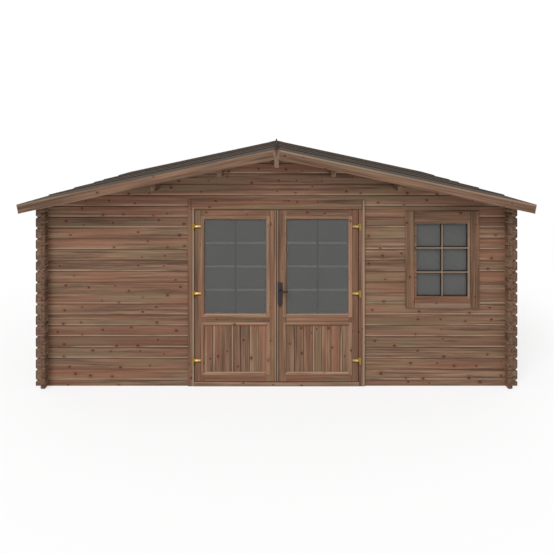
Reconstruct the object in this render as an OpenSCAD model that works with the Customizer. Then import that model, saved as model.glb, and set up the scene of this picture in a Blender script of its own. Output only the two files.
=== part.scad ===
// Garden log cabin of interlocking chamfered logs, with a shallow gable roof, a double door and one window.
// The origin is on the ground under the middle of the cabin, +Z is up and the door faces -Y.

/* [Logs] */
// Height of one log course
log_h = 113; // [100:1:130]
// Thickness of a log
log_t = 45; // [38:1:60]
// Chamfer along the long edges of a log
log_chamfer = 8; // [4:0.5:11]
// Chamfer above and below at a log's end
end_chamfer = 19; // [10:1:25]
// Chamfer down the upright edges of a log's end
end_arris = 7; // [3:1:10]
// Length of log that runs on past the crossing wall
log_end = 88; // [60:1:140]
// Log courses in the side walls
courses = 17; // [16:1:19]
// Extra height of the top side log, up to the roof at its outer face
plate_rise = 8; // [6:1:25]

/* [Plan] */
// Width over the log ends
cabin_w = 5010; // [4800:10:5600]
// Depth over the log ends
cabin_d = 3976; // [3000:1:5000]

/* [Roof] */
// Pitch of the roof in degrees
roof_pitch = 12.1; // [10:0.1:16]
// Roof past the log ends at the eaves
eave_out = 81; // [60:1:140]
// Roof past the log ends at the gables
gable_out = 162; // [100:1:250]
// Thickness of the roof boards
deck_t = 19; // [15:1:25]
// Cover width of one roof board
deck_board_w = 96; // [80:1:140]
// Groove between two boards of the roof, floor or door panel
board_groove = 3; // [1:0.5:5]
// Thickness of the roof covering
cover_t = 3; // [2:0.5:5]
// Covering past the ends of the roof boards
cover_drip = 6; // [2:1:12]
// Width of one strip of roof covering
strip_w = 775; // [600:5:900]
// Lift of a strip's edge where it laps over the strip before it
strip_lift = 10; // [3:1:12]
// Width of the ridge capping on each slope
cap_w = 110; // [80:5:160]
// Height of the covered batten along the ridge
batten_rise = 46; // [25:1:60]
// Thickness of the covered batten along the ridge
batten_t = 20; // [12:1:30]
// Thickness of the purlins
purlin_t = 45; // [38:1:60]
// Depth of the side purlins
purlin_h = 136; // [110:1:150]
// Depth of the ridge purlin
ridge_h = 165; // [140:1:200]
// Distance of the inner purlins from the ridge
inner_purlin_x = 570; // [450:5:700]
// Distance of the outer purlins from the ridge
outer_purlin_x = 1236; // [1000:5:1400]
// Depth of the bargeboards
barge_h = 89; // [80:1:130]
// Thickness of the bargeboards and eaves boards
barge_t = 18; // [14:1:25]
// Extra depth of the bargeboards at the ridge
barge_arch = 15; // [5:1:30]
// Length of the deeper stretch of a bargeboard
barge_arch_w = 600; // [300:10:900]
// Half width of the ridge block at its top
block_half = 40; // [35:1:55]
// Depth of the recess in the ridge block
block_recess = 8; // [2:1:10]
// Width of the arms of the Y in the ridge block, measured along the top
block_arm = 14; // [5:1:20]
// Depth of the eaves boards
fascia_h = 70; // [50:1:100]

/* [Floor] */
// Height of the floor bearers
bearer_h = 27; // [20:1:30]
// Width of the floor bearers
bearer_w = 70; // [45:1:100]
// Number of floor bearers
bearer_n = 7; // [5:1:9]
// Thickness of the floor boards
floor_t = 18; // [15:1:22]
// Cover width of one floor board
floor_board_w = 118; // [90:1:150]
// Gap round the floor boards
floor_gap = 8; // [4:1:12]

/* [Double door] */
// Width of one door leaf
leaf_w = 844.5; // [780:0.5:900]
// Thickness of a door leaf
leaf_t = 40; // [38:1:48]
// Clearance between a leaf and the frame at its side and top
leaf_gap = 5; // [5:0.5:7]
// Clearance between the two leaves
meeting_gap = 7; // [7:0.5:9]
// Clearance under the leaves
sill_gap = 6; // [5:0.5:8]
// Height of the threshold
sill_h = 45; // [40:1:60]
// Thickness of the jambs
jamb_t = 35; // [28:1:40]
// Thickness of the frame head
head_t = 31.5; // [25:0.5:36]
// Projection of the door stops into the opening
stop_w = 12; // [8:1:16]
// Width of the upright door trim
trim_side = 66; // [50:0.5:80]
// Height of the door head trim
trim_head = 97; // [75:1:110]
// Thickness of the door and window trim boards
trim_t = 15; // [12:1:20]
// Chamfer along the edges of the trim boards and leaves
arris = 2.5; // [1:0.5:4]
// Length of the door head trim that laps over each upright trim board
head_lap = 33; // [10:1:40]
// Gap between two trim boards
trim_gap = 2; // [1:0.5:4]
// Width of the door stiles
stile_w = 101; // [90:1:130]
// Height of the top rail
top_rail = 100; // [80:1:120]
// Height of the middle rail
mid_rail = 123; // [90:1:140]
// Height of the bottom rail
bottom_rail = 98; // [80:1:140]
// Height of the boarded panel
panel_h = 480; // [350:5:550]
// Thickness of the boarded panel
panel_t = 20; // [16:1:24]
// Cover width of one panel board
panel_board_w = 95; // [70:1:120]
// Depth to which glass and panels enter their frames
rebate = 8; // [5:1:12]
// Bevel round the glass and the panels
bead = 8; // [4:1:10]
// Thickness of one glass pane
pane_t = 4; // [3:0.5:6]
// Space between the two panes
pane_gap = 8; // [6:1:10]
// Width of the bars between the panes
inner_bar_w = 18; // [12:1:25]
// Rows of panes in a door
door_rows = 4; // [2:1:5]

/* [Door fittings] */
// Radius of a hinge knuckle
knuckle_r = 6; // [5:0.5:8]
// Radius of a hinge pin
pin_r = 3; // [2:0.25:3.5]
// Length of one hinge
hinge_l = 72; // [60:1:90]
// Thickness of the hinge plates
hinge_t = 3; // [2:0.5:4]
// Width of the hinge plate on the frame
hinge_plate_w = 24; // [16:1:28]
// Reach of the hinge strap over the leaf
strap_l = 62; // [55:1:85]
// Thickness of the hinge strap in its middle
strap_t = 7; // [4:0.5:8]
// Height of the hinge strap
strap_h = 30; // [22:1:34]
// Height of the lowest hinge above the leaf's lower edge
hinge_low = 213; // [150:1:250]
// Height of the highest hinge below the leaf's upper edge
hinge_high = 176; // [120:1:220]
// Width of the handle plate
plate_w = 48; // [40:1:56]
// Height of the handle plate
plate_h = 260; // [200:1:270]
// Thickness of the handle plate
plate_t = 8; // [6:0.5:10]
// Height of the pointed foot of the handle plate
plate_foot = 42; // [20:1:60]
// Corner cut at the head of the handle plate
plate_cut = 6; // [2:1:12]
// Distance of the handle's axis from the leaf's edge
handle_inset = 32; // [30:1:45]
// Height of the handle's axis above the leaf's lower edge
handle_z = 938; // [880:1:980]
// Height of the handle's axis above the middle of its plate
handle_rise = 42; // [10:1:50]
// Distance of the groove in the right leaf's face from its meeting edge
groove_inset = 22; // [20:1:60]
// Width of that groove
groove_w = 9; // [5:1:14]
// Reach of the lever
lever_l = 86; // [80:1:115]
// Distance of the lever from the leaf
lever_out = 46; // [38:1:55]
// Radius of the lever's neck
neck_r = 9; // [7:0.5:11]
// Radius of the spindle
spindle_r = 5; // [4:0.5:6]

/* [Window] */
// Distance of the window's middle from the middle of the wall beside the doors
window_shift = 75; // [-60:0.5:100]
// Width of the window frame
window_w = 636; // [500:1:700]
// Height of the window frame
window_h = 857.5; // [700:0.5:950]
// Thickness of the window frame
window_frame_t = 25; // [20:1:32]
// Settling gap left over the window frame, behind the trim
window_settle = 17; // [5:0.5:25]
// Width of the upright window trim
window_trim = 89; // [70:1:110]
// Height of the trim over the window
window_trim_head = 108; // [70:1:115]
// Height of the trim under the window
window_trim_foot = 89; // [60:1:110]
// Width of the sash members
sash_w = 27; // [22:1:40]
// Thickness of the sash
sash_t = 39; // [30:1:40]
// Depth of the sash behind the wall's outer face
sash_back = 4; // [2:1:5]
// Distance of the pane from the inner face of the sash
pane_back = 8; // [6:1:12]
// Width of the window's bars
bar_w = 12; // [10:1:25]
// Rows of panes in the window
window_rows = 3; // [2:1:4]

/* [Hidden] */
$fn = 48;
// Cutters reach this far past what they cut
past = 5;
// Half the plan over the log ends, and the middle planes of the walls
half_w = cabin_w / 2;
half_d = cabin_d / 2;
side_x = half_w - log_end - log_t / 2;
front_y = half_d - log_end - log_t / 2;
// Outer and inner faces of the walls
wall_out_x = side_x + log_t / 2;
wall_out_y = front_y + log_t / 2;
wall_in_x = side_x - log_t / 2;
wall_in_y = front_y - log_t / 2;
// Joints between courses: the front and back walls start with half a log, the side walls with a whole one
side_joints = [for (k = [0:courses - 1]) k * log_h];
front_joints = [for (k = [0:courses + 12]) (k + 0.5) * log_h];
// Where the rectangular part of the end walls stops and the gable starts
gable_z = (courses - 0.5) * log_h;
// The roof boards rest on the gables, and the other pieces next to the roof keep this far clear of it
roof_seat = 0.1;
// Roof planes
slope = tan(roof_pitch);
apex = courses * log_h + plate_rise + slope * wall_out_x;
deck_rise = deck_t / cos(roof_pitch);
eave_x = half_w + eave_out;
deck_x = eave_x - cover_drip;
roof_y = half_d + gable_out;
deck_y = roof_y - barge_t;
slope_l = (eave_x + log_h) / cos(roof_pitch);
block_low = barge_h / cos(roof_pitch) + barge_arch;
// Share of the ridge block's height that the recess takes, and the steps of the bargeboards' curve
recess_share = 0.7;
arch_steps = 8;
// Double door
door_half = leaf_w + leaf_gap + meeting_gap / 2;
doorway_half = door_half + jamb_t;
leaf_z = sill_h + sill_gap;
head_z = gable_z - head_t;
leaf_h = head_z - leaf_gap - leaf_z;
face_y = -wall_out_y - trim_t;
leaf_x = door_half - leaf_gap;
stop_y = face_y + leaf_t + leaf_gap;
glass_z = bottom_rail + panel_h + mid_rail;
glass_w = leaf_w - 2 * stile_w;
glass_h = leaf_h - glass_z - top_rail;
glass_y = (leaf_t - 2 * pane_t - pane_gap) / 2;
unit_t = 2 * pane_t + pane_gap;
// Hinges: the pin stands in front of the leaf's face, over the gap at its edge
hinge_off = 0.5;
hinge_x = -leaf_gap / 2;
hinge_y = -knuckle_r - hinge_off;
hinge_zs = [hinge_low, (hinge_low + leaf_h - hinge_high) / 2, leaf_h - hinge_high];
pin_clear = 0.1;
knuckle_gap = 0.5;
plate_clear = 1;
// Handle
spindle_x = leaf_w - handle_inset;
spindle_clear = 3;
spindle_hole_r = spindle_r + spindle_clear;
neck_clear = 0.15;
plate_z = handle_z - handle_rise;
lever_t = 10;
lever_h = 18;
cylinder_r = 8.5;
cylinder_drop = 72;
cylinder_out = 3;
// Window
lintel_z = (courses - 1.5) * log_h;
window_top = lintel_z - window_settle;
window_z = window_top - window_h;
window_x = (door_half + trim_side + wall_in_x) / 2 + window_shift;
window_lo = window_x - window_w / 2;
window_hi = window_x + window_w / 2;
pier_z = (floor(window_z / log_h - 0.5) + 0.5) * log_h;
sash_y = -wall_out_y + sash_back;
daylight_w = window_w - 2 * window_frame_t;
daylight_h = window_h - 2 * window_frame_t;
pane_w = daylight_w - 2 * sash_w;
pane_h = daylight_h - 2 * sash_w;
pane_y = sash_y + sash_t - pane_back;
// Colours
pine = "#7a5a48";
dark_pine = "#6b4f40";
felt = "#4a4642";
glass_tint = "#5b5f61";
bar_grey = "#8a8378";
brass = "#b08d3c";
black = "#2a2725";

function under(x) = apex - slope * abs(x);
function over(x) = under(x) + deck_rise - roof_seat;
function flip(points) = [for (i = [len(points) - 1:-1:0]) points[i]];
function has(list, z) = len([for (j = list) if (abs(j - z) < 0.01) j]) > 0;

// One upright edge of a stack of logs, from z0 up to z1, cut in by c at every joint
function stack_edge(x, out, z0, z1, joints, c) = c == 0 ? [[x, z0], [x, z1]] : concat(
    has(joints, z0) ? [[x - out * c, z0], [x, z0 + c]] : [[x, z0]],
    [for (z = joints) if (z > z0 + c && z < z1 - c) each [[x, z - c], [x - out * c, z], [x, z + c]]],
    has(joints, z1) ? [[x, z1 - c], [x - out * c, z1]] : [[x, z1]]);

function stack_outline(x0, x1, z0, z1, joints, c0, c1) = concat(
    stack_edge(x1, 1, z0, z1, joints, c1), flip(stack_edge(x0, -1, z0, z1, joints, c0)));

// A row of V grooves along a board face at height z, from x0 to x1
function groove_row(x0, x1, z, pitch, depth) = concat([[x0, z]],
    [for (x = [x0 + pitch:pitch:x1 - 2 * abs(depth)])
        each [[x - abs(depth), z], [x, z - depth], [x + abs(depth), z]]],
    [[x1, z]]);

module prism_x(x0, x1)
    translate([x0, 0, 0]) rotate([90, 0, 90]) linear_extrude(x1 - x0) children();

module prism_y(y0, y1)
    translate([0, y1, 0]) rotate([90, 0, 0]) linear_extrude(y1 - y0) children();

module prism_z(z0, z1)
    translate([0, 0, z0]) linear_extrude(z1 - z0) children();

module box(x0, x1, y0, y1, z0, z1)
    translate([x0, y0, z0]) cube([x1 - x0, y1 - y0, z1 - z0]);

module ring(x0, x1, z0, z1, sx, sz, y0, y1)
    difference() {
        box(x0, x1, y0, y1, z0, z1);
        box(x0 + sx, x1 - sx, y0 - past, y1 + past, z0 + sz, z1 - sz);
    }

// A board with its front at y0 and its back at y1, chamfered all round the front
module eased(x0, x1, y0, y1, z0, z1) {
    a = y1 > y0 ? arris : -arris;
    intersection() {
        prism_x(x0, x1)
            polygon([[y0, z0 + arris], [y0 + a, z0], [y1, z0], [y1, z1], [y0 + a, z1], [y0, z1 - arris]]);
        prism_z(z0, z1)
            polygon([[x0 + arris, y0], [x1 - arris, y0], [x1, y0 + a], [x1, y1], [x0, y1], [x0, y0 + a]]);
    }
}

// A stack of logs from x0 to x1 about the plane y = 0. An end that runs free is chamfered all round.
module log_stack(x0, x1, z0, z1, joints, free0, free1) {
    c0 = free0 ? end_chamfer : 0;
    c1 = free1 ? end_chamfer : 0;
    intersection() {
        prism_x(x0, x1)
            polygon(stack_outline(-log_t / 2, log_t / 2, z0, z1, joints, log_chamfer, log_chamfer));
        prism_y(-log_t / 2, log_t / 2)
            polygon(stack_outline(x0, x1, z0, z1, joints, c0, c1));
        stack_plan(x0, x1, z0, z1, free0, free1);
    }
}

module stack_plan(x0, x1, z0, z1, free0, free1) {
    a0 = free0 ? end_arris : 0;
    a1 = free1 ? end_arris : 0;
    low = free0 ? [[x0, log_t / 2 - a0], [x0, a0 - log_t / 2], [x0 + a0, -log_t / 2]]
        : [[x0, log_t / 2], [x0, -log_t / 2]];
    high = free1 ? [[x1 - a1, -log_t / 2], [x1, a1 - log_t / 2], [x1, log_t / 2 - a1], [x1 - a1, log_t / 2]]
        : [[x1, -log_t / 2], [x1, log_t / 2]];
    prism_z(z0, z1) polygon(concat(low, high, free0 ? [[x0 + a0, log_t / 2]] : []));
}

// Half-height notches where the side walls' logs pass through the front and back walls
module end_wall_notches(x, top)
    for (k = [0:courses - 1])
        if (k * log_h + log_h / 4 < top)
            box(x - log_t / 2, x + log_t / 2, -log_t, log_t,
                k * log_h + log_h / 4, min(k * log_h + 3 * log_h / 4, top + past));

// The other half of the same joints, in the side walls
module side_wall_notches(x)
    for (k = [0:courses])
        box(x - log_t / 2, x + log_t / 2, -log_t, log_t, k == 0 ? -past : (k - 0.25) * log_h,
            k == courses ? (k + 1) * log_h : (k + 0.25) * log_h);

module side_wall(side)
    color(pine) difference() {
        intersection() {
            translate([side * side_x, 0, 0]) rotate([0, 0, 90])
                log_stack(-half_d, half_d, 0, (courses + 1) * log_h, side_joints, true, true);
            prism_y(-half_d - past, half_d + past)
                polygon([[side * wall_in_x, -past], [side * wall_out_x, -past],
                    [side * wall_out_x, under(wall_out_x) - roof_seat],
                    [side * wall_in_x, under(wall_in_x) - roof_seat]]);
        }
        translate([side * side_x, 0, 0]) rotate([0, 0, 90]) {
            side_wall_notches(front_y);
            side_wall_notches(-front_y);
        }
    }

module end_stack(end, x0, x1, z0, z1, free0, free1)
    color(pine) translate([0, end * front_y, 0]) difference() {
        log_stack(x0, x1, z0, z1, front_joints, free0, free1);
        if (free0) end_wall_notches(-side_x, z1);
        if (free1) end_wall_notches(side_x, z1);
    }

module gable(end)
    color(pine) difference() {
        translate([0, end * front_y, 0]) difference() {
            intersection() {
                log_stack(-half_w, half_w, gable_z, apex, front_joints, false, false);
                stack_plan(-half_w, half_w, gable_z, apex, true, true);
                prism_y(-log_t, log_t)
                    polygon([[-half_w + end_chamfer, gable_z], [half_w - end_chamfer, gable_z],
                        [half_w, gable_z + end_chamfer], [half_w, under(half_w)], [0, apex],
                        [-half_w, under(half_w)], [-half_w, gable_z + end_chamfer]]);
            }
            end_wall_notches(-side_x, apex);
            end_wall_notches(side_x, apex);
        }
        purlin_pocket(0, ridge_h, end);
        for (side = [-1, 1]) {
            purlin_pocket(side * inner_purlin_x, purlin_h, end);
            purlin_pocket(side * outer_purlin_x, purlin_h, end);
        }
    }

module purlin_pocket(x, depth, end)
    box(x - purlin_t / 2, x + purlin_t / 2, end * front_y - log_t, end * front_y + log_t,
        under(x) - depth, apex + past);

// A purlin whose top is bevelled to the roof boards
module purlin(x, depth) {
    crown = x == 0 ? [[0, apex - roof_seat]] : [];
    prism_y(-deck_y, deck_y)
        polygon(concat([[x - purlin_t / 2, under(x) - depth], [x + purlin_t / 2, under(x) - depth],
            [x + purlin_t / 2, under(x + purlin_t / 2) - roof_seat]], crown,
            [[x - purlin_t / 2, under(x - purlin_t / 2) - roof_seat]]));
}

// The block between the two bargeboards, with a sunk triangle in its face
module ridge_block(end)
    difference() {
        prism_y(end < 0 ? -roof_y : deck_y, end < 0 ? -deck_y : roof_y)
            polygon([[-purlin_t / 2, apex - ridge_h], [purlin_t / 2, apex - ridge_h],
                [purlin_t / 2, over(0) - block_low], [block_half, over(block_half)], [0, over(0)],
                [-block_half, over(block_half)], [-purlin_t / 2, over(0) - block_low]]);
        prism_y(end < 0 ? -roof_y - past : roof_y - block_recess,
                end < 0 ? -roof_y + block_recess : roof_y + past)
            polygon([[0, over(0) - recess_share * block_low], [block_half - block_arm, over(0) + past],
                [block_arm - block_half, over(0) + past]]);
    }

module ridge_purlin()
    color(dark_pine) {
        purlin(0, ridge_h);
        ridge_block(-1);
        ridge_block(1);
    }

module inner_purlins()
    color(dark_pine) for (side = [-1, 1]) purlin(side * inner_purlin_x, purlin_h);

module outer_purlins()
    color(dark_pine) for (side = [-1, 1]) purlin(side * outer_purlin_x, purlin_h);

// One slope, laid with its underside on the roof plane and its length down the slope
module on_slope(side)
    mirror([side < 0 ? 1 : 0, 0, 0]) translate([0, 0, apex]) rotate([0, roof_pitch, 0]) children();

// A layer of one slope with the given section, cut plumb at x0 and x1 from the ridge
module slope_layer(side, x0, x1, section)
    intersection() {
        on_slope(side) prism_x(-log_h, slope_l) polygon(section);
        box(side < 0 ? -x1 : x0, side < 0 ? -x0 : x1, -roof_y, roof_y, 0, apex + 2 * log_h);
    }

module roof_deck(side)
    color(dark_pine) slope_layer(side, 0, deck_x, concat(
        flip(groove_row(-deck_y, deck_y, 0, deck_board_w, -board_groove)), [[-deck_y, deck_t], [deck_y, deck_t]]));

// Whole strips are laid from both ends, and the one between them is cut to what is left
strip_n = ceil(2 * roof_y / strip_w);
front_strips = ceil(strip_n / 2);
strip_edges = concat([for (k = [0:front_strips]) -roof_y + k * strip_w],
    [for (k = [strip_n - 1 - front_strips:-1:0]) roof_y - k * strip_w]);

// Upper outline of the lapped strips at height z above the roof boards' underside, with its laps moved forward.
// The first strip lies flat at the front and the last one is turned up at the back.
function strip_tops(z, forward = 0) = [for (i = [0:strip_n - 1])
    each [[i == 0 ? -roof_y : strip_edges[i] - forward, z + (i == 0 ? 0 : strip_lift)],
        i == strip_n - 1 ? [roof_y, z + strip_lift] : [strip_edges[i + 1] - forward, z]]];

module roof_covering(side)
    color(felt) slope_layer(side, batten_t / 2, eave_x,
        concat([[roof_y, deck_t], [-roof_y, deck_t]], strip_tops(deck_t + cover_t)));

// A covered batten along the ridge, with capping draped over the laps of the strips on either side
module ridge_cap()
    color(felt) {
        for (side = [-1, 1])
            slope_layer(side, batten_t / 2 - cover_t, cap_w,
                concat(flip(strip_tops(deck_t + cover_t)), strip_tops(deck_t + 2 * cover_t, cover_t)));
        prism_y(-roof_y, roof_y)
            polygon([[-batten_t / 2, over(batten_t / 2) + 2 * roof_seat], [0, over(0) + 2 * roof_seat],
                [batten_t / 2, over(batten_t / 2) + 2 * roof_seat], [batten_t / 2, over(0) + batten_rise],
                [-batten_t / 2, over(0) + batten_rise]]);
    }

// Bargeboard outline: square-cut at the eaves and swept a little deeper towards the ridge block
function arch_depth(x) = barge_h / cos(roof_pitch) + barge_arch * pow(max(0, 1 - x / barge_arch_w), 2);

module bargeboards(end)
    color(pine) for (side = [-1, 1])
        prism_y(end < 0 ? -roof_y : deck_y, end < 0 ? -deck_y : roof_y)
            polygon(concat([[side * block_half, over(block_half)], [side * eave_x, over(eave_x)],
                [side * (eave_x - barge_h * sin(roof_pitch)), over(eave_x) - barge_h * cos(roof_pitch)]],
                [for (i = [arch_steps:-1:1]) let (x = barge_arch_w * i / arch_steps)
                    [side * x, over(x) - arch_depth(x)]],
                [[side * purlin_t / 2, over(0) - block_low]]));

module eaves_boards()
    color(pine) for (side = [-1, 1])
        prism_y(-deck_y, deck_y)
            polygon([[side * (deck_x - barge_t), under(deck_x) - fascia_h], [side * deck_x, under(deck_x) - fascia_h],
                [side * deck_x, under(deck_x) - roof_seat],
                [side * (deck_x - barge_t), under(deck_x - barge_t) - roof_seat]]);

module floor_bearers()
    color(dark_pine) for (i = [0:bearer_n - 1]) {
        y = -wall_in_y + bearer_w / 2 + i * (2 * wall_in_y - bearer_w) / (bearer_n - 1);
        box(-wall_in_x, wall_in_x, y - bearer_w / 2, y + bearer_w / 2, 0, bearer_h);
    }

module floor_boards()
    color(pine) prism_y(-wall_in_y + floor_gap, wall_in_y - floor_gap)
        polygon(concat([[wall_in_x - floor_gap, bearer_h], [-wall_in_x + floor_gap, bearer_h]],
            groove_row(-wall_in_x + floor_gap, wall_in_x - floor_gap, bearer_h + floor_t, floor_board_w,
                board_groove)));

module door_frame()
    color(pine) {
        difference() {
            box(-doorway_half, doorway_half, -wall_out_y, -wall_in_y, 0, gable_z);
            box(-door_half, door_half, -wall_out_y - past, -wall_in_y + past, -past, head_z);
        }
        difference() {
            box(-door_half, door_half, stop_y, -wall_in_y, sill_h, head_z);
            box(-door_half + stop_w, door_half - stop_w, stop_y - past, -wall_in_y + past, -past, head_z - stop_w);
        }
    }

module door_threshold()
    color(pine) box(-door_half, door_half, face_y, -wall_in_y, 0, sill_h);

// Trim boards on both faces of the wall: the outer ones reach the ground, the inner ones stand on the floor.
// The head board is let into the upright ones.
module door_trim()
    color(pine) for (face = [[face_y, -wall_out_y, 0], [-wall_in_y + trim_t, -wall_in_y, bearer_h + floor_t]]) {
        eased(-door_half - head_lap, door_half + head_lap, face[0], face[1], head_z, head_z + trim_head);
        for (side = [-1, 1])
            difference() {
                eased(side < 0 ? -door_half - trim_side : door_half, side < 0 ? -door_half : door_half + trim_side,
                    face[0], face[1], face[2], head_z + trim_head);
                box(-door_half - head_lap - trim_gap, door_half + head_lap + trim_gap, min(face[0], face[1]) - past,
                    max(face[0], face[1]) + past, head_z - trim_gap, head_z + trim_head + past);
            }
    }

// Places a left leaf's piece, built from the hinge edge at x = 0 and the front face at y = 0
module at_leaf(side)
    mirror([side > 0 ? 1 : 0, 0, 0]) translate([-leaf_x, face_y, leaf_z]) children();

// An opening through the leaf with its edges bevelled on both faces
module bevelled_opening(x, z, w, h) {
    box(x, x + w, -past, leaf_t + past, z, z + h);
    for (y = [0, leaf_t])
        translate([0, y, 0]) {
            for (cx = [x, x + w])
                translate([cx, 0, z + h / 2]) rotate([0, 0, 45])
                    cube([bead * sqrt(2), bead * sqrt(2), h], center = true);
            for (cz = [z, z + h])
                translate([x + w / 2, 0, cz]) rotate([45, 0, 0])
                    cube([w, bead * sqrt(2), bead * sqrt(2)], center = true);
        }
}

module leaf(side)
    color(pine) at_leaf(side) difference() {
        eased(0, leaf_w, 0, leaf_t, 0, leaf_h);
        bevelled_opening(stile_w, glass_z, glass_w, glass_h);
        bevelled_opening(stile_w, bottom_rail, glass_w, panel_h);
        box(stile_w - rebate, leaf_w - stile_w + rebate, glass_y, glass_y + unit_t,
            glass_z - rebate, glass_z + glass_h + rebate);
        box(stile_w - rebate, leaf_w - stile_w + rebate, (leaf_t - panel_t) / 2, (leaf_t + panel_t) / 2,
            bottom_rail - rebate, bottom_rail + panel_h + rebate);
        if (side > 0) {
            translate([spindle_x, -past, handle_z]) rotate([-90, 0, 0])
                cylinder(h = leaf_t + 2 * past, r = spindle_hole_r);
            prism_z(-past, leaf_h + past)
                polygon([[leaf_w - groove_inset - groove_w / 2 - past, -past],
                    [leaf_w - groove_inset + groove_w / 2 + past, -past], [leaf_w - groove_inset, groove_w / 2]]);
        }
    }

module leaf_glass(side)
    color(glass_tint) at_leaf(side) for (y = [glass_y, glass_y + pane_t + pane_gap])
        box(stile_w - rebate, leaf_w - stile_w + rebate, y, y + pane_t,
            glass_z - rebate, glass_z + glass_h + rebate);

module leaf_bars(side)
    color(bar_grey) at_leaf(side) {
        ring(stile_w - rebate, leaf_w - stile_w + rebate, glass_z - rebate, glass_z + glass_h + rebate,
            2 * rebate, 2 * rebate, glass_y + pane_t, glass_y + pane_t + pane_gap);
        box(leaf_w / 2 - inner_bar_w / 2, leaf_w / 2 + inner_bar_w / 2, glass_y + pane_t,
            glass_y + pane_t + pane_gap, glass_z, glass_z + glass_h);
        for (i = [1:door_rows - 1]) {
            z = glass_z + glass_h * i / door_rows;
            box(stile_w, leaf_w - stile_w, glass_y + pane_t, glass_y + pane_t + pane_gap,
                z - inner_bar_w / 2, z + inner_bar_w / 2);
        }
    }

module leaf_panel(side) {
    x0 = stile_w - rebate;
    x1 = leaf_w - stile_w + rebate;
    y0 = (leaf_t - panel_t) / 2;
    color(pine) at_leaf(side) prism_z(bottom_rail - rebate, bottom_rail + panel_h + rebate)
        polygon(concat(groove_row(x0, x1, y0, panel_board_w, -board_groove),
            flip(groove_row(x0, x1, y0 + panel_t, panel_board_w, board_groove))));
}

// The frame's half of a hinge: plate, two outer knuckles and the pin
module frame_hinges(side)
    color(brass) at_leaf(side) for (z = hinge_zs) {
        box(hinge_x - hinge_plate_w, hinge_x, -hinge_t, 0, z - hinge_l / 2, z - strap_h / 2 - knuckle_gap);
        box(hinge_x - hinge_plate_w, hinge_x, -hinge_t, 0, z + strap_h / 2 + knuckle_gap, z + hinge_l / 2);
        box(hinge_x - hinge_plate_w, hinge_x - knuckle_r - plate_clear, -hinge_t, 0,
            z - hinge_l / 2, z + hinge_l / 2);
        for (z0 = [z - hinge_l / 2, z + strap_h / 2 + knuckle_gap])
            translate([hinge_x, hinge_y, z0])
                cylinder(h = (hinge_l - strap_h) / 2 - knuckle_gap, r = knuckle_r);
        translate([hinge_x, hinge_y, z - hinge_l / 2]) cylinder(h = hinge_l, r = pin_r);
    }

// The leaf's half: a strap bevelled along its upper and lower edges, with the middle knuckle
module leaf_hinges(side)
    color(brass) at_leaf(side) for (z = hinge_zs)
        difference() {
            union() {
                prism_x(hinge_x, strap_l)
                    polygon([[0, z - strap_h / 2], [0, z + strap_h / 2], [-hinge_t / 2, z + strap_h / 2],
                        [-strap_t, z + strap_h / 5], [-strap_t, z - strap_h / 5], [-hinge_t / 2, z - strap_h / 2]]);
                translate([hinge_x, hinge_y, z - strap_h / 2]) cylinder(h = strap_h, r = knuckle_r);
            }
            translate([hinge_x, hinge_y, z - strap_h / 2 - past])
                cylinder(h = strap_h + 2 * past, r = pin_r + pin_clear);
        }

// A handle plate between y0 and y1, with cut corners at its head and a pointed foot
module handle_plate(y0, y1)
    difference() {
        prism_y(y0, y1) translate([spindle_x, plate_z])
            polygon([[0, -plate_h / 2], [plate_w / 2, plate_foot - plate_h / 2],
                [plate_w / 2, plate_h / 2 - plate_cut], [plate_w / 2 - plate_cut, plate_h / 2],
                [plate_cut - plate_w / 2, plate_h / 2], [-plate_w / 2, plate_h / 2 - plate_cut],
                [-plate_w / 2, plate_foot - plate_h / 2]]);
        translate([spindle_x, y0 - past, handle_z]) rotate([-90, 0, 0])
            cylinder(h = plate_t + 2 * past, r = neck_r + neck_clear);
    }

module handle_plates()
    color(black) at_leaf(1) {
        handle_plate(-plate_t, 0);
        handle_plate(leaf_t, leaf_t + plate_t);
        for (y = [-plate_t - cylinder_out, leaf_t + plate_t])
            translate([spindle_x, y, handle_z - cylinder_drop]) rotate([-90, 0, 0])
                cylinder(h = cylinder_out, r = cylinder_r);
    }

module door_lever()
    color(black) at_leaf(1) translate([spindle_x, 0, handle_z]) {
        rotate([-90, 0, 0]) translate([0, 0, -lever_out]) cylinder(h = leaf_t + 2 * lever_out, r = spindle_r);
        for (y = [-lever_out, leaf_t])
            translate([0, y, 0]) rotate([-90, 0, 0]) cylinder(h = lever_out, r = neck_r);
        for (y = [-lever_out, leaf_t + lever_out - lever_t]) {
            box(-lever_l + lever_h / 2, 0, y, y + lever_t, -lever_h / 2, lever_h / 2);
            for (x = [-lever_l + lever_h / 2, 0])
                translate([x, y, 0]) rotate([-90, 0, 0]) cylinder(h = lever_t, r = lever_h / 2);
        }
    }

module window_frame()
    color(pine) ring(window_lo, window_hi, window_z, window_top, window_frame_t, window_frame_t,
        -wall_out_y, -wall_in_y);

module window_sash()
    color(pine) difference() {
        ring(window_lo + window_frame_t, window_hi - window_frame_t, window_z + window_frame_t,
            window_top - window_frame_t, sash_w, sash_w, sash_y, sash_y + sash_t);
        box(window_x - pane_w / 2 - rebate, window_x + pane_w / 2 + rebate, pane_y - pane_t / 2,
            pane_y + pane_t / 2, window_z + window_frame_t + sash_w - rebate,
            window_top - window_frame_t - sash_w + rebate);
    }

module window_glass()
    color(glass_tint) box(window_x - pane_w / 2 - rebate, window_x + pane_w / 2 + rebate, pane_y - pane_t / 2,
        pane_y + pane_t / 2, window_z + window_frame_t + sash_w - rebate,
        window_top - window_frame_t - sash_w + rebate);

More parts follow.
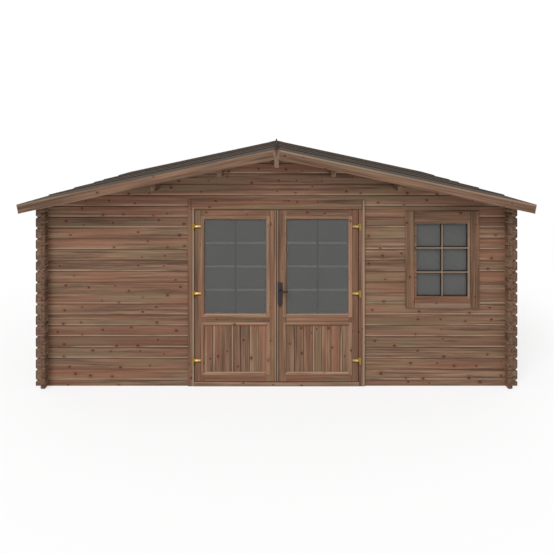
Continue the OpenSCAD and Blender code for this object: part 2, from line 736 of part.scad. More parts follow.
module window_bars()
    color(pine) {
        z0 = window_z + window_frame_t + sash_w;
        for (y = [[sash_y, pane_y - pane_t / 2], [pane_y + pane_t / 2, sash_y + sash_t]]) {
            box(window_x - bar_w / 2, window_x + bar_w / 2, y[0], y[1], z0, z0 + pane_h);
            for (i = [1:window_rows - 1]) {
                z = z0 + pane_h * i / window_rows;
                box(window_x - pane_w / 2, window_x + pane_w / 2, y[0], y[1], z - bar_w / 2, z + bar_w / 2);
            }
        }
    }

// Upright trim boards on both faces of the wall, with a head and a foot board between them
module window_trim_boards() {
    x0 = window_x - daylight_w / 2;
    x1 = window_x + daylight_w / 2;
    z0 = window_z + window_frame_t;
    z1 = window_top - window_frame_t;
    color(pine) for (y = [[face_y, -wall_out_y], [-wall_in_y + trim_t, -wall_in_y]]) {
        eased(x0 - window_trim, x0, y[0], y[1], z0 - window_trim_foot, z1 + window_trim_head);
        eased(x1, x1 + window_trim, y[0], y[1], z0 - window_trim_foot, z1 + window_trim_head);
        eased(x0 + trim_gap, x1 - trim_gap, y[0], y[1], z1, z1 + window_trim_head);
        eased(x0 + trim_gap, x1 - trim_gap, y[0], y[1], z0 - window_trim_foot, z0);
    }
}

module left_wall() side_wall(-1);
module right_wall() side_wall(1);
module back_wall() end_stack(1, -half_w, half_w, 0, gable_z, true, true);
module back_gable() gable(1);
module front_wall_left() end_stack(-1, -half_w, -doorway_half, 0, gable_z, true, false);
module front_wall_right_lower() {
    end_stack(-1, doorway_half, half_w, 0, pier_z, false, true);
    color(pine) box(window_lo, window_hi, -wall_out_y, -wall_in_y, pier_z, window_z);
}
module front_wall_inner_pier() end_stack(-1, doorway_half, window_lo, pier_z, lintel_z, false, false);
module front_wall_outer_pier() end_stack(-1, window_hi, half_w, pier_z, lintel_z, false, true);
module front_wall_right_upper() end_stack(-1, doorway_half, half_w, lintel_z, gable_z, false, true);
module front_gable() gable(-1);
module roof_deck_left() roof_deck(-1);
module roof_deck_right() roof_deck(1);
module roof_covering_left() roof_covering(-1);
module roof_covering_right() roof_covering(1);
module front_bargeboards() bargeboards(-1);
module back_bargeboards() bargeboards(1);
module left_leaf() leaf(-1);
module left_leaf_glass() leaf_glass(-1);
module left_leaf_bars() leaf_bars(-1);
module left_leaf_panel() leaf_panel(-1);
module right_leaf() leaf(1);
module right_leaf_glass() leaf_glass(1);
module right_leaf_bars() leaf_bars(1);
module right_leaf_panel() leaf_panel(1);
module left_frame_hinges() frame_hinges(-1);
module left_leaf_hinges() leaf_hinges(-1);
module right_frame_hinges() frame_hinges(1);
module right_leaf_hinges() leaf_hinges(1);

floor_bearers();
floor_boards();
left_wall();
right_wall();
back_wall();
back_gable();
front_wall_left();
front_wall_right_lower();
front_wall_inner_pier();
front_wall_outer_pier();
front_wall_right_upper();
front_gable();
ridge_purlin();
inner_purlins();
outer_purlins();
roof_deck_left();
roof_deck_right();
roof_covering_left();
roof_covering_right();
ridge_cap();
front_bargeboards();
back_bargeboards();
eaves_boards();
door_frame();
door_threshold();
door_trim();
left_leaf();
left_leaf_glass();
left_leaf_bars();
left_leaf_panel();
right_leaf();
right_leaf_glass();
right_leaf_bars();
right_leaf_panel();
left_frame_hinges();
left_leaf_hinges();
right_frame_hinges();
right_leaf_hinges();
handle_plates();
door_lever();
window_frame();
window_sash();
window_glass();
window_bars();
window_trim_boards();
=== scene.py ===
import math
import random

import bmesh
import bpy
from mathutils import Matrix, Vector


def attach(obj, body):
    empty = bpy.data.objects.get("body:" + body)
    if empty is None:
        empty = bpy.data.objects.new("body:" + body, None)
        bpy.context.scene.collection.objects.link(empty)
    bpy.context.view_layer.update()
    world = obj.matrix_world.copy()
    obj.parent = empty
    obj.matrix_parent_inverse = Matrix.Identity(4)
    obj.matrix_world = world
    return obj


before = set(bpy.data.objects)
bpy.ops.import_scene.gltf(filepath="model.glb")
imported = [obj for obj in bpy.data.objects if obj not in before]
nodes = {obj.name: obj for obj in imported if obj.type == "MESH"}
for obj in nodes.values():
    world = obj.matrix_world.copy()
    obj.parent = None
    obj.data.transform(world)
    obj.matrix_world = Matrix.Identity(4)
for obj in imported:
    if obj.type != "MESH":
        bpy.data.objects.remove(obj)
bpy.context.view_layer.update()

scene = bpy.context.scene
scene.view_settings.view_transform = "Standard"
print("cabin loaded with", len(nodes), "nodes")


class Wire:
    # a number on its way between shader nodes, so that sums are written as sums
    def __init__(self, finish, socket):
        self.finish = finish
        self.socket = socket

    def math(self, operation, *others):
        made = self.finish.add("ShaderNodeMath", {"operation": operation}, [self, *others])
        return self.finish.wire(made)

    def __add__(self, other):
        return self.math("ADD", other)

    def __radd__(self, other):
        return self.math("ADD", other)

    def __sub__(self, other):
        return self.math("SUBTRACT", other)

    def __rsub__(self, other):
        made = self.finish.add("ShaderNodeMath", {"operation": "SUBTRACT"}, [other, self])
        return self.finish.wire(made)

    def __mul__(self, other):
        return self.math("MULTIPLY", other)

    def __rmul__(self, other):
        return self.math("MULTIPLY", other)

    def __truediv__(self, other):
        return self.math("DIVIDE", other)

    def __pow__(self, other):
        return self.math("POWER", other)

    def __neg__(self):
        return self.math("MULTIPLY", -1)

    def __abs__(self):
        return self.math("ABSOLUTE")

    def above(self, edge):
        return self.math("GREATER_THAN", edge)

    def below(self, edge):
        return self.math("LESS_THAN", edge)

    def floor(self):
        return self.math("FLOOR")

    def wave(self):
        return self.math("SINE")

    # 0 below low, 1 above high, smooth between
    def rise(self, low, high):
        made = self.finish.add("ShaderNodeMapRange", {"interpolation_type": "SMOOTHSTEP"},
                               {"Value": self, "From Min": low, "From Max": high})
        return self.finish.wire(made, "Result")


class Finish:
    # one set of shader nodes, built node by node for a material or for the world
    def __init__(self, owner):
        owner.use_nodes = True
        self.tree = owner.node_tree
        self.tree.nodes.clear()

    def add(self, kind, settings=None, values=None):
        node = self.tree.nodes.new(kind)
        for key, setting in (settings or {}).items():
            if key == "stops":
                self.setStops(node.color_ramp, setting)
            else:
                setattr(node, key, setting)
        pairs = values.items() if isinstance(values, dict) else enumerate(values or [])
        for key, value in pairs:
            self.feed(node.inputs[key], value)
        return node

    def setStops(self, ramp, stops):
        while len(ramp.elements) < len(stops):
            ramp.elements.new(0.5)
        for element, (place, colour) in zip(ramp.elements, stops):
            element.position = place
            element.color = (*colour[:3], 1)

    def feed(self, socket, value):
        if isinstance(value, Wire):
            self.tree.links.new(value.socket, socket)
        elif isinstance(value, bpy.types.NodeSocket):
            self.tree.links.new(value, socket)
        elif socket.type == "RGBA" and len(value) == 3:
            socket.default_value = (*value, 1)
        else:
            socket.default_value = value

    def wire(self, node, output=0):
        return Wire(self, node.outputs[output])

    def axes(self, output):
        where = self.add("ShaderNodeTexCoord").outputs[output]
        split = self.add("ShaderNodeSeparateXYZ", {}, [where])
        return [self.wire(split, axis) for axis in "XYZ"]

    def place(self):
        return self.axes("Object")

    def facing(self):
        return self.axes("Normal")

    def vector(self, x, y, z):
        return self.add("ShaderNodeCombineXYZ", {}, [x, y, z]).outputs[0]

    def noise(self, where, scale, detail=2, roughness=0.5, distortion=0):
        return self.wire(self.add("ShaderNodeTexNoise", {}, {
            "Vector": where, "Scale": scale, "Detail": detail, "Roughness": roughness,
            "Distortion": distortion}))

    def chance(self, number):
        made = self.add("ShaderNodeTexWhiteNoise", {"noise_dimensions": "1D"}, {"W": number})
        return self.wire(made, "Value")

    def mix(self, share, one, other, blend="MIX"):
        made = self.add("ShaderNodeMix", {"data_type": "RGBA", "blend_type": blend},
                        {0: share, 6: one, 7: other})
        return made.outputs[2]

    def mixNumber(self, share, one, other):
        made = self.add("ShaderNodeMix", {"data_type": "FLOAT"}, {0: share, 2: one, 3: other})
        return self.wire(made)

    def scaled(self, colour, factor):
        made = self.add("ShaderNodeVectorMath", {"operation": "SCALE"}, {0: colour, "Scale": factor})
        return made.outputs[0]

    def ramp(self, share, stops):
        return self.add("ShaderNodeValToRGB", {"stops": stops}, {0: share}).outputs[0]


class Surface(Finish):
    # one material around a plain surface shader
    def __init__(self, name):
        self.material = bpy.data.materials.new(name)
        super().__init__(self.material)
        self.shader = self.add("ShaderNodeBsdfPrincipled")
        self.output = self.add("ShaderNodeOutputMaterial", {}, {"Surface": self.shader.outputs[0]})

    def bump(self, height, strength, distance):
        made = self.add("ShaderNodeBump", {}, {"Height": height, "Strength": strength,
                                               "Distance": distance})
        self.feed(self.shader.inputs["Normal"], made.outputs[0])

    def gloss(self, level):
        self.shader.inputs["Specular IOR Level"].default_value = level

    def set(self, **values):
        for name, value in values.items():
            self.feed(self.shader.inputs[name.replace("_", " ")], value)
        return self.material


# the photo is a level view from in front of the doors, framed lower by a shifted lens
view = {
    "eye": (-0.003, -7.60, 2.647),
    "lens": 35.65,
    "shiftX": 0.0013,
    "shiftY": -0.2635,
}


def setCamera(view):
    data = bpy.data.cameras.new("camera")
    data.lens = view["lens"]
    data.sensor_width = 36
    data.shift_x = view["shiftX"]
    data.shift_y = view["shiftY"]
    camera = bpy.data.objects.new("camera", data)
    camera.location = view["eye"]
    camera.rotation_euler = (math.pi / 2, 0, 0)
    scene.collection.objects.link(camera)
    scene.camera = camera


setCamera(view)

studio = {
    "skyStrength": 0.74,
    "paperStrength": 1.03,       # the backdrop as the eye sees it: plain white
    "keyPower": 1.65,
    "keyFrom": Vector((-0.55, -0.95, 1.15)),
    "keySpread": 0.5,            # radians, wide enough for a soft edge to the shadow
    "floorWidth": 120,
    "floorTone": 0.90,
    "floorRoughness": 0.9,
    "floorGap": 0.0005,
    "floorGlow": 0.70,           # share of plain white that the eye sees in the floor by the cabin
    "floorFade": (2.6, 7.0),     # from here the floor goes over into the white of the backdrop
}


def setStudio(studio):
    scene.world = bpy.data.worlds.new("studio")
    sky = Finish(scene.world)
    rays = sky.add("ShaderNodeLightPath")
    seen = sky.wire(rays, "Is Camera Ray").math("MAXIMUM", sky.wire(rays, "Is Glossy Ray"))
    seen = seen.math("MAXIMUM", sky.wire(rays, "Is Transmission Ray"))
    white = (1, 1, 1)
    lamp = sky.add("ShaderNodeBackground", {}, [white, studio["skyStrength"]])
    paper = sky.add("ShaderNodeBackground", {}, [white, studio["paperStrength"]])
    blend = sky.add("ShaderNodeMixShader", {}, [seen, lamp.outputs[0], paper.outputs[0]])
    sky.add("ShaderNodeOutputWorld", {}, {"Surface": blend.outputs[0]})

    key = bpy.data.lights.new("key", "SUN")
    key.energy = studio["keyPower"]
    key.angle = studio["keySpread"]
    keyLamp = bpy.data.objects.new("key", key)
    keyLamp.rotation_euler = studio["keyFrom"].to_track_quat("Z", "Y").to_euler()
    scene.collection.objects.link(keyLamp)

    half = studio["floorWidth"] / 2
    mesh = bpy.data.meshes.new("floor")
    mesh.from_pydata([(-half, -half, 0), (half, -half, 0), (half, half, 0), (-half, half, 0)], [],
                     [(0, 1, 2, 3)])
    floor = bpy.data.objects.new("floor", mesh)
    floor.location.z = -studio["floorGap"]
    scene.collection.objects.link(floor)
    paperFloor = Surface("floor")
    tone = studio["floorTone"]
    paperFloor.set(Base_Color=(tone, tone, tone), Roughness=studio["floorRoughness"])
    paths = paperFloor.add("ShaderNodeLightPath")
    glossy = paperFloor.wire(paths, "Is Glossy Ray")
    eye = paperFloor.wire(paths, "Is Camera Ray").math("MAXIMUM", glossy)
    glow = paperFloor.add("ShaderNodeEmission", {}, [white, 1.0])
    x, y, z = paperFloor.place()
    far = (x * x + y * y) ** 0.5
    share = paperFloor.mixNumber(far.rise(*studio["floorFade"]), studio["floorGlow"], 1.0)
    mixed = paperFloor.add("ShaderNodeMixShader", {}, [eye * share, paperFloor.shader.outputs[0],
                                                       glow.outputs[0]])
    paperFloor.feed(paperFloor.output.inputs["Surface"], mixed.outputs[0])
    mesh.materials.append(paperFloor.material)


setStudio(studio)
print("camera, lamps and floor are set")

pine = {
    "deep": (0.062, 0.026, 0.014),
    "brown": (0.196, 0.110, 0.067),
    "pale": (0.375, 0.250, 0.165),
    "red": (0.225, 0.086, 0.050),
    "olive": (0.205, 0.156, 0.086),
    "knot": (0.036, 0.012, 0.008),
    "knotArea": 0.028,           # one knot at most on each such area
    "knotRadius": 0.0122,
    "knotSquash": 0.62,          # knots are a little longer than they are wide
    "widest": 0.45,              # wider boards have as many knots as this one
    "bend": 0.55,                # how far the grain gives way to a knot
    "streak": (1.25, 44, 20),    # how often the colour changes along, across and through the board
    "fine": (7, 330, 260),
    "band": 620,
    "edgeLight": (0.430, 0.320, 0.225),
    "edgeHalf": 0.0090,          # half width of the strip of sapwood
    "edgeShare": 0.25,           # share of the boards without one
    "seam": 0.009,               # width of the shade beside each joint
    "rings": (40, 500),          # how uneven and how close the rings of the cut ends are
    "blots": 38,
    "relief": (0.55, 0.0016),    # strength and height of the bumps
    "gloss": 0.26,
    "roughness": 0.74,
}


class Grain:
    # the colour, relief and roughness of boards that run along one axis
    def __init__(self, wood, grain, board, width, start=0.0, knots=0.66, seed=0.0, edges=0.0,
                 joint=0.0, ends=1.0, slant=0.0):
        place = dict(zip("xyz", wood.place()))
        facing = dict(zip("xyz", wood.facing()))
        third = ({"x", "y", "z"} - {grain, board}).pop()
        along, across, through = place[grain], place[board], place[third]
        if slant:
            across = across + abs(along) * slant    # boards that follow the roof
        count = ((across - start) / width).floor()
        within = across - start - count * width
        own = wood.chance(count * 1.37 + seed)
        shifted = along + own * 9.0

        # knots: each cell of a board holds one at a random place, seen at its true round distance
        length = pine["knotArea"] / min(width, pine["widest"])
        cell = (shifted / length).floor()
        cellSeed = cell * 3.17 + count * 7.71 + seed
        there = wood.chance(cellSeed + 0.31)
        knotAlong = (cell + 0.2 + 0.6 * wood.chance(cellSeed + 1.7)) * length
        knotAcross = (0.14 + 0.72 * wood.chance(cellSeed + 2.9)) * width
        size = pine["knotRadius"] * (0.6 + 0.75 * wood.chance(cellSeed + 4.1))
        gapAlong = shifted - knotAlong
        gapAcross = within - knotAcross
        far = (gapAlong * gapAlong * pine["knotSquash"] + gapAcross * gapAcross) ** 0.5 / size
        real = there.below(knots)
        knot = (1 - far.rise(0.20, 1.35)) * real
        halo = (1 - far.rise(0.8, 3.2)) * real

        # the grain bends round each knot
        bent = across + halo * gapAcross * -pine["bend"]
        often = pine["streak"]
        streakAt = wood.vector(shifted * often[0], bent * often[1], through * often[2] + own * 5)
        streak = wood.noise(streakAt, 1.0, 4, 0.62)
        often = pine["fine"]
        fineAt = wood.vector(shifted * often[0], bent * often[1], through * often[2])
        fine = wood.noise(fineAt, 1.0, 3, 0.6)
        slow = wood.noise(wood.vector(shifted * 0.55, count * 3.3 + bent * 5, seed), 1.0, 2)
        band = ((bent * pine["band"] + streak * 26 + slow * 9).wave() + 1) * 0.5
        brown = pine["brown"]
        body = streak.rise(0.29, 0.71) * 0.70 + fine.rise(0.25, 0.8) * 0.20 + band * 0.10
        colour = wood.ramp(body, [(0.0, pine["deep"]), (0.28, [c * 0.64 for c in brown]),
                                  (0.52, brown), (0.80, [c * 1.44 for c in brown]),
                                  (1.0, pine["pale"])])
        colour = wood.mix(slow.rise(0.45, 0.62) * 0.50, colour, pine["red"])
        green = wood.noise(wood.vector(shifted * 0.8 + 31, count * 2.1 + bent * 9, seed + 5), 1.0, 2)
        colour = wood.mix(green.rise(0.50, 0.68) * 0.45, colour, pine["olive"])
        tone = wood.scaled(colour, 0.84 + own * 0.32)

        # some boards show a strip of pale sapwood along one edge
        if edges:
            sap = wood.chance(count * 5.3 + seed + 0.7).above(pine["edgeShare"])
            ragged = wood.noise(wood.vector(shifted * 1.6, count * 4.1, seed), 1.0, 2)
            strip = (within - edges) * (1 / pine["edgeHalf"])
            line = (1 - abs(strip).rise(0.35, 1.0)) * ragged.rise(0.32, 0.54) * sap
            tone = wood.mix(line * 0.58, tone, pine["edgeLight"])
        tone = wood.mix(halo * 0.42, tone, pine["red"])
        tone = wood.mix(knot * 0.84, tone, pine["knot"])
        if joint:
            shade = 1 - (width * 0.5 - abs(within - width * 0.5)).rise(0.0, pine["seam"])
            tone = wood.scaled(tone, 1 - shade * joint)

        # cut ends show rings instead of the long grain
        endOn = abs(facing[grain]).rise(0.55, 0.8)
        wavy, close = pine["rings"]
        uneven = wood.noise(wood.vector(across * wavy, through * wavy, own * 3), 0.5, 2)
        rings = ((uneven * 60 + abs(within - width * 0.5) * close).wave() + 1) * 0.5
        endTone = wood.ramp(rings, [(0.0, [c * 0.60 * ends for c in brown]),
                                    (1.0, [c * 1.02 * ends for c in brown])])
        blotAt = wood.vector(across * pine["blots"], through * pine["blots"], own * 7)
        blot = wood.noise(blotAt, 1.0, 2, 0.6)
        endTone = wood.scaled(endTone, 1 - blot.rise(0.46, 0.62) * 0.50)
        self.tone = wood.mix(endOn, tone, endTone)
        self.relief = ((streak * 0.5 + fine * 0.35 + band * 0.15 - knot * 0.25) * (1 - endOn)
                       + rings * endOn * 0.4)
        self.rough = pine["roughness"] - fine * 0.12 + knot * 0.05


def pineFinish(name, layout, crossed=None, mask=None, tint=(1, 1, 1), lines=()):
    # layout and crossed are two runs of boards, and mask says where the second one takes over.
    # Each line is a function that gives a share and a colour.
    wood = Surface(name)
    first = Grain(wood, **layout)
    tone, relief, rough = first.tone, first.relief, first.rough
    if crossed:
        second = Grain(wood, **crossed)
        share = mask(*wood.place())
        tone = wood.mix(share, tone, second.tone)
        relief = wood.mixNumber(share, relief, second.relief)
        rough = wood.mixNumber(share, rough, second.rough)
    tone = wood.mix(1.0, tone, tint, "MULTIPLY")
    for line in lines:
        share, colour = line(wood.place(), wood.facing())
        tone = wood.mix(share, tone, colour)
    wood.bump(relief, *pine["relief"])
    wood.gloss(pine["gloss"])
    return wood.set(Base_Color=tone, Roughness=rough)


felt = {
    "dark": (0.054, 0.041, 0.032),
    "light": (0.106, 0.084, 0.067),
    "far": (0.030, 0.024, 0.020),
    "grit": 900,                 # how often the grit changes
    "relief": (0.35, 0.0008),
    "gloss": 0.06,
    "roughness": 0.98,
    "endsAt": 2.150,
    "strip": 0.775,              # from one lap to the next
    "firstLap": -2.0,            # no such line in front of here
    "cutStrip": (0.600, 0.350),  # the strip in front of this lap is narrower by so much
    "lap": (0.010, 0.035),       # the dark line along each lap
    "batten": 0.014,             # half width of the batten under the ridge, which is darker
}


def feltFinish():
    sheet = Surface("roofCovering")
    x, y, z = sheet.place()
    grit = sheet.noise(sheet.vector(x, y, z), felt["grit"], 2, 0.7)
    cloud = sheet.noise(sheet.vector(x * 1.2, y * 2.5, z), 2.0, 4, 0.6)
    cutAt, missing = felt["cutStrip"]
    course = (y + felt["endsAt"] + y.above(cutAt) * missing) / felt["strip"]
    own = sheet.chance(course.floor() + x.above(0) * 11)
    washed = sheet.noise(sheet.vector(x * 0.8, y * 16, z), 1.0, 3, 0.6)     # rain runs down the slope
    body = 0.25 + grit * 0.25 + cloud * 0.16 + own * 0.12 + washed * 0.14
    tone = sheet.ramp(body.rise(0.3, 0.86), [(0, felt["dark"]), (1, felt["light"])])
    behind = (course - course.floor()) * felt["strip"]
    lapped = (1 - behind.rise(*felt["lap"])) * y.above(felt["firstLap"])
    tone = sheet.mix(lapped * 0.3, tone, felt["far"])
    # painted shade: a dark line along the far edge of the covering
    tone = sheet.mix(y.rise(felt["endsAt"] - 0.05, felt["endsAt"] - 0.01), tone, felt["far"])
    tone = sheet.mix(abs(x).below(felt["batten"]) * 0.65, tone, felt["far"])
    sheet.bump(grit, *felt["relief"])
    sheet.gloss(felt["gloss"])
    return sheet.set(Base_Color=tone, Roughness=felt["roughness"])


glass = {
    "tone": (0.127, 0.127, 0.124),
    "windowTone": (0.139, 0.139, 0.137),
    "cover": 0.60,
    "roughness": 0.16,
    "gloss": 0.1,
    "line": (0.016, 0.012, 0.010),
}


def glassFinish(name, colour, line=None):
    # line gives the share of a dark line at each place
    pane = Surface(name)
    x, y, z = pane.place()
    cloud = pane.noise(pane.vector(x, y, z), 3.0, 3)
    tone = pane.mix(cloud.rise(0.3, 0.7), [c * 0.98 for c in colour], [c * 1.02 for c in colour])
    cover = glass["cover"]
    if line:
        dark = line(x, y, z)
        tone = pane.mix(dark, tone, glass["line"])
        cover = cover + dark * (1 - cover)
    pane.gloss(glass["gloss"])
    return pane.set(Base_Color=tone, Roughness=glass["roughness"] + cloud * 0.05, Alpha=cover)


brass = {
    "bright": (0.56, 0.37, 0.12),
    "dull": (0.27, 0.165, 0.030),
    # painted shade on the lower part of each strap and on faces that look down
    "under": (0.055, 0.026, 0.008),
    "glint": (0.831, 0.022),     # painted highlight down the middle of each strap
    "plates": 0.854,             # from here out lie the frame plates, which are duller
    "lowest": 0.264,             # height of the lowest strap, and from one strap to the next
    "apart": 0.694,
    "metallic": 0.75,
    "roughness": 0.34,
}


def brassFinish():
    metal = Surface("hingeBrass")
    x, y, z = metal.place()
    cloud = metal.noise(metal.vector(x, y, z), 60, 4, 0.6)
    brushed = metal.noise(metal.vector(x * 40, y * 900, z * 900), 1.0, 2)
    metal.bump(brushed, 0.15, 0.0004)
    turnY, turnZ = metal.facing()[1:]
    # painted light: faces that look to the front, back or up take the bright colour, most of all down
    # the middle of each strap
    lit = abs(turnY).rise(0.80, 0.98).math("MAXIMUM", turnZ.rise(0.0, 0.3))
    middle, half = brass["glint"]
    highlight = 1 - (abs(abs(x) - middle) / half).rise(0.2, 1.0)
    plates = abs(x).above(brass["plates"])
    highlightShare = (0.20 + highlight * 0.62 + cloud * 0.30) * (1 - plates * 0.45)
    tone = metal.mix(lit * highlightShare, brass["dull"], brass["bright"])
    # painted shade: the lower part of each strap and the faces that look down take the dark colour
    count = (z - brass["lowest"]) / brass["apart"]
    below = ((count + 0.5).floor() - count) * brass["apart"]
    underShade = below.rise(0.002, 0.007) * (1 - plates)
    tone = metal.mix((-turnZ).rise(0.10, 0.45).math("MAXIMUM", underShade), tone, brass["under"])
    return metal.set(Base_Color=tone, Metallic=brass["metallic"],
                     Roughness=brass["roughness"] + cloud * 0.18)


black = {
    "dark": (0.010, 0.006, 0.006),
    "light": (0.034, 0.025, 0.027),
    "metallic": 0.3,
    "roughness": 0.42,
}


def blackFinish():
    metal = Surface("blackMetal")
    x, y, z = metal.place()
    cloud = metal.noise(metal.vector(x, y, z), 90, 3, 0.6)
    metal.bump(cloud, 0.12, 0.0006)
    return metal.set(Base_Color=metal.ramp(cloud, [(0, black["dark"]), (1, black["light"])]),
                     Metallic=black["metallic"], Roughness=black["roughness"] + cloud * 0.2)


paneBars = {
    "middle": 0.42575,           # place of the upright bar of each leaf, and half its width
    "half": 0.009,
    "level": [(0, (0.70, 0.69, 0.66)), (1, (0.84, 0.83, 0.80))],
    "upright": [(0, (0.020, 0.020, 0.020)), (1, (0.040, 0.040, 0.038))],
    "roughness": 0.55,
}


def barFinish():
    # the bars between the panes: the level ones catch the light and the upright ones don't
    bar = Surface("paneBars")
    x, y, z = bar.place()
    cloud = bar.noise(bar.vector(x, y, z), 30, 3)
    level = bar.ramp(cloud, paneBars["level"])
    upright = bar.ramp(cloud, paneBars["upright"])
    standing = abs(abs(x) - paneBars["middle"]).below(paneBars["half"])
    return bar.set(Base_Color=bar.mix(standing, level, upright), Roughness=paneBars["roughness"])


logCourse = 0.113
halfCourse = logCourse / 2
tints = {
    # how each kind of wood differs from the plain pine, save the gables, whose paler tint is painted
    # light
    "walls": (0.85, 0.87, 0.87),
    # painted light: the gable logs are the walls' pine, tinted paler to lift the shade under the roof
    "gables": (0.95, 0.955, 0.965),
    "roofBoards": (0.78, 0.78, 0.78),
    "purlins": (0.86, 0.86, 0.84),
    "bargeboards": (0.905, 0.920, 0.920),
    "threshold": (1.18, 1.38, 1.50),
    "doorTrim": (0.85, 0.83, 0.81),
    "leaf": (0.84, 0.80, 0.78),
    "bead": (1.20, 1.19, 1.15),
    "panel": (0.91, 0.90, 0.89),
    "windowTrim": (0.71, 0.655, 0.615),
    "sash": (0.85, 0.83, 0.80),
}
frontRun = dict(grain="x", board="z", width=logCourse, start=-halfCourse, edges=0.013,
                joint=0.22, ends=0.55)
sideRun = dict(grain="y", board="z", width=logCourse, start=0.0, seed=41.0, edges=0.013, joint=0.22)

logEnd = {
    "from": 2.417,               # outer face of the side walls
    "tip": 2.505,
    "tipShade": (0.022, 0.006),  # the shade begins and is full so far from the tip
    "speck": 44,
    "shade": (0.055, 0.030, 0.020),
}


def endShade(place, facing):
    # the short ends beyond the corners are rough from the saw and dark towards their tips
    x, y, z = place
    speck = x.finish.noise(x.finish.vector(x, y, z), logEnd["speck"], 3, 0.6)
    out = abs(x)
    rough = speck.rise(0.48, 0.60) * out.above(logEnd["from"]) * 0.42
    begins, full = [logEnd["tip"] - inset for inset in logEnd["tipShade"]]
    return rough.math("MAXIMUM", out.rise(begins, full) * 0.75), logEnd["shade"]


frontPine = pineFinish("frontLogs", frontRun, tint=tints["walls"], lines=[endShade])
gablePine = pineFinish("gableLogs", frontRun, tint=tints["gables"])
sidePine = pineFinish("sideLogs", sideRun, tint=tints["walls"])
roofPine = pineFinish("roofBoards", dict(grain="x", board="y", width=0.096, start=-2.132, seed=17.0),
                      tint=tints["roofBoards"])
floorPine = pineFinish("floorBoards", dict(grain="y", board="x", width=0.118, start=-2.364, seed=5.0),
                       tint=tints["walls"])

block = {
    "face": -2.147,              # the sunk triangle lies between these planes
    "back": -2.130,
    "low": 2.32,
    "rust": (0.155, 0.060, 0.036),
    "half": 0.060,               # half width of the Y-shaped front end
    "pale": (0.350, 0.262, 0.186),
}


def rust(place, facing):
    x, y, z = place
    sunk = y.above(block["face"]) * y.below(block["back"])
    return sunk * z.above(block["low"]) * 0.75, block["rust"]


def paleFork(place, facing):
    # the arms and the stem of the Y have weathered paler than the sunk triangle between them
    x, y, z = place
    return y.below(block["face"]) * abs(x).below(block["half"]) * 0.24, block["pale"]


purlinPine = pineFinish("purlins", dict(grain="y", board="x", width=0.5, start=0.25, seed=61.0),
                        tint=tints["purlins"], lines=[rust, paleFork])

barge = {
    "ridge": 2.4666,             # height of the roof boards at the ridge
    "slope": 0.2144,
    "line": 0.010,
    "light": (0.300, 0.225, 0.165),
}


def bargeTopHighlight(place, facing):
    # painted highlight along the upper edge of a bargeboard, stronger on the right
    x, y, z = place
    depth = barge["ridge"] - abs(x) * barge["slope"] - z
    edge = 1 - depth.rise(barge["line"], barge["line"] * 2.4)
    return edge * (0.18 + x.above(0) * 0.36), barge["light"]


bargePine = pineFinish("bargeboards", dict(grain="x", board="z", width=1.2, start=1.8, seed=71.0,
                                           slant=barge["slope"]),
                       tint=tints["bargeboards"], lines=[bargeTopHighlight])
sillPine = pineFinish("threshold", dict(grain="x", board="z", width=0.2, start=-0.05, seed=83.0),
                      tint=tints["threshold"])

doorway = {
    "head": 1.833,
    "leftStrip": (-0.864, 1.847),    # place and top of the pale strip down the left board
    "rightStrip": 0.903,
    "stripHalf": 0.009,
    "lap": (0.887, 0.0035),      # place and half width of the joint beside the head board
    "outer": 0.919,
    "lapFoot": 0.008,            # the joint and the outer shade begin so far over the head
    "face": -1.90,               # the strips lie in front of this plane
    "pale": (0.320, 0.250, 0.175),
    "shade": (0.090, 0.045, 0.026),
}


def trimEdge(place, facing):
    # a pale strip on the inner edge of the left board and on the outer edge of the right one
    x, y, z = place
    at, top = doorway["leftStrip"]
    left = (1 - (abs(x - at) / doorway["stripHalf"]).rise(0.7, 1.3)) * z.below(top)
    right = 1 - (abs(x - doorway["rightStrip"]) / doorway["stripHalf"]).rise(0.7, 1.3)
    return left.math("MAXIMUM", right) * y.below(doorway["face"]) * 0.62, doorway["pale"]


def trimJoint(place, facing):
    # the dark joint beside the head board and the shade along its outer edge
    x, y, z = place
    middle, half = doorway["lap"]
    joint = 1 - (abs(abs(x) - middle) / half).rise(0.6, 1.3)
    outer = (abs(x) - doorway["outer"]).rise(-0.010, -0.001)
    over = z.above(doorway["head"] + doorway["lapFoot"])
    return joint.math("MAXIMUM", outer) * over * 0.75, doorway["shade"]


def overHead(x, y, z):
    return z.above(doorway["head"])


doorTrimPine = pineFinish("doorTrim", dict(grain="z", board="x", width=0.4, start=0.2, seed=97.0),
                          dict(grain="x", board="z", width=0.4, start=1.80, seed=98.0),
                          overHead, tint=tints["doorTrim"], lines=[trimEdge, trimJoint])

leaf = {
    "hinge": 0.848,              # outer and inner edges of a leaf, from the middle of the doorway
    "meeting": 0.0035,
    "opening": (0.1045, 0.7470),
    "glass": (0.752, 1.728),
    "panel": (0.149, 0.629),
    "front": -1.915,
    "back": -1.875,
    "shade": (0.0, 0.0110),      # the dark line along the hinge edge
    "shadeDepth": 0.010,
    "groove": (0.0255, 0.0055),  # the groove down the right leaf: place and half width
    "pale": 0.0080,              # the pale strip down the meeting edges
}


def hingeShade(place, facing):
    inset = leaf["hinge"] - abs(place[0])
    low, high = leaf["shade"]
    front = place[1].below(leaf["front"] + leaf["shadeDepth"])
    return inset.above(low) * inset.below(high) * front * 0.6, doorway["shade"]


def grooveShade(place, facing):
    middle, half = leaf["groove"]
    return (1 - (abs(place[0] - middle) / half).rise(0.3, 1.0)) * 0.6, doorway["shade"]


# a pale strip down the meeting edges; on the faces inside the gap it is painted light over the gap's
# shade
def meetingPale(place, facing):
    return abs(place[0]).below(leaf["meeting"] + leaf["pale"]) * 0.6, doorway["pale"]


def crossing(x, y, z):
    low, high = leaf["opening"]
    return abs(x).above(low) * abs(x).below(high)


